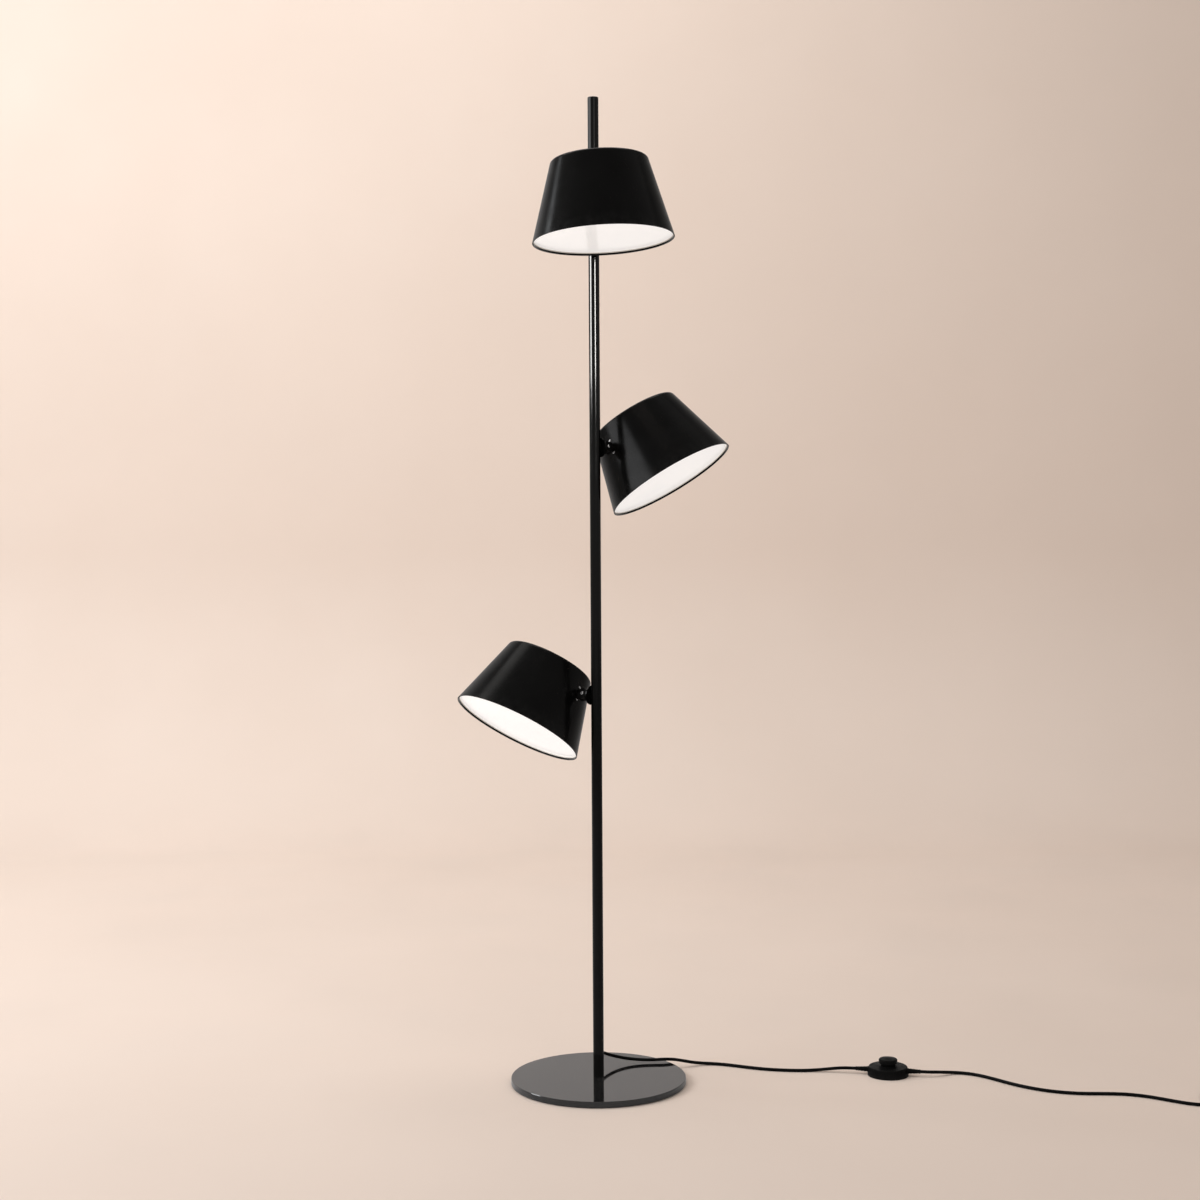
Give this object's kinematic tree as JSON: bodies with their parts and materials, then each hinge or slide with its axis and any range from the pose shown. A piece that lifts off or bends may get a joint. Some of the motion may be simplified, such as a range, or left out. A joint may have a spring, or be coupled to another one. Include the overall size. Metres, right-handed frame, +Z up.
{
  "type": "pole floor lamp",
  "caption": "Slim free-standing pole floor lamp on a round weighted base, with conical shades on swivel and tilt joints and a foot switch in the mains lead.",
  "frame": {"origin": "on the pole's axis at the underside of the base's foam pad", "axes": "+Z up along the pole, -Y towards the viewer, who sees the lower shade on the left and the middle one on the right"},
  "size_m": [1.2324, 0.4092, 1.56],
  "materials": {
    "black_lacquer": "deep gloss black lacquer on steel",
    "black_shade": "satin-gloss black paint outside, matt white paint inside",
    "zinc_steel": "zinc-plated steel",
    "bright_pin": "polished steel pin",
    "foam_pad": "thin black foam pad",
    "black_flex": "round black flex, satin",
    "black_plastic": "satin black moulded plastic",
    "friction_plastic": "black nylon washer",
    "opal_diffuser": "opal white diffuser, glossy",
    "heat_plate": "plain aluminium",
    "led_board": "white board with light chips"
  },
  "bodies": {
    "stand": {"floor_pad": "foam_pad", "base_plate": "black_lacquer", "pole_lower": "black_lacquer", "pole_upper": "black_lacquer", "pole_cap": "black_lacquer", "base_bolt": "zinc_steel", "base_washer": "zinc_steel", "pole_spigot": "zinc_steel", "pole_joiner": "zinc_steel", "saddle_washers": "zinc_steel", "switch_screws": "zinc_steel", "plug_prongs": "zinc_steel", "inner_flex": "black_flex", "lead_to_switch": "black_flex", "lead_to_coil": "black_flex", "lead_coil": "black_flex", "flex_clips": "black_plastic", "lead_grip": "black_plastic", "switch_base": "black_plastic", "switch_cover": "black_plastic", "switch_reliefs": "black_plastic", "switch_module": "black_plastic", "plug_body": "black_plastic", "rosette_top": "black_lacquer", "rosette_middle": "black_lacquer", "rosette_lower": "black_lacquer"},
    "foot_button": {"switch_button": "black_plastic"},
    "arm_top": {"knuckle_top": "black_lacquer", "friction_washer_top": "friction_plastic", "stem_nut_top": "zinc_steel", "hinge_pin_top": "bright_pin"},
    "head_top": {"shade_top": "black_shade", "hinge_tongue_top": "black_lacquer", "flange_rivets_top": "black_lacquer", "diffuser_top": "opal_diffuser", "heat_plate_top": "heat_plate", "led_board_top": "led_board"},
    "arm_middle": {"knuckle_middle": "black_lacquer", "friction_washer_middle": "friction_plastic", "stem_nut_middle": "zinc_steel", "hinge_pin_middle": "bright_pin"},
    "head_middle": {"shade_middle": "black_shade", "hinge_tongue_middle": "black_lacquer", "flange_rivets_middle": "black_lacquer", "diffuser_middle": "opal_diffuser", "heat_plate_middle": "heat_plate", "led_board_middle": "led_board"},
    "arm_lower": {"knuckle_lower": "black_lacquer", "friction_washer_lower": "friction_plastic", "stem_nut_lower": "zinc_steel", "hinge_pin_lower": "bright_pin"},
    "head_lower": {"shade_lower": "black_shade", "hinge_tongue_lower": "black_lacquer", "flange_rivets_lower": "black_lacquer", "diffuser_lower": "opal_diffuser", "heat_plate_lower": "heat_plate", "led_board_lower": "led_board"}
  },
  "joints": [
    {"name": "button_press", "type": "slide", "parent": "stand", "child": "foot_button", "axis": [0, 0, -1], "range_m": [0, 0.003], "stiffness_N_per_m": 800, "springref_m": -0.001},
    {"name": "swivel_top", "type": "hinge", "parent": "stand", "child": "arm_top", "pos_m": [0.0024, -0.02589, 1.397], "axis": [0.0924, -0.9957, 0], "range_deg": [-167.4, 162.6]},
    {"name": "tilt_top", "type": "hinge", "parent": "arm_top", "child": "head_top", "pos_m": [0.0024, -0.02589, 1.397], "axis": [-0.9949, -0.0923, -0.0419], "range_deg": [-7.1, 39.9]},
    {"name": "swivel_middle", "type": "hinge", "parent": "stand", "child": "arm_middle", "pos_m": [0.01962, 0.01706, 1.015], "axis": [0.7547, 0.6561, 0], "range_deg": [-136, 194]},
    {"name": "tilt_middle", "type": "hinge", "parent": "arm_middle", "child": "head_middle", "pos_m": [0.01962, 0.01706, 1.015], "axis": [0.5738, -0.6601, 0.4848], "range_deg": [-16.5, 30.5]},
    {"name": "swivel_lower", "type": "hinge", "parent": "stand", "child": "arm_lower", "pos_m": [-0.02103, 0.01528, 0.623], "axis": [-0.809, 0.5878, 0], "range_deg": [-196.5, 133.5]},
    {"name": "tilt_lower", "type": "hinge", "parent": "arm_lower", "child": "head_lower", "pos_m": [-0.02103, 0.01528, 0.623], "axis": [0.5012, 0.6898, -0.5225], "range_deg": [-11.8, 35.2]}
  ]
}
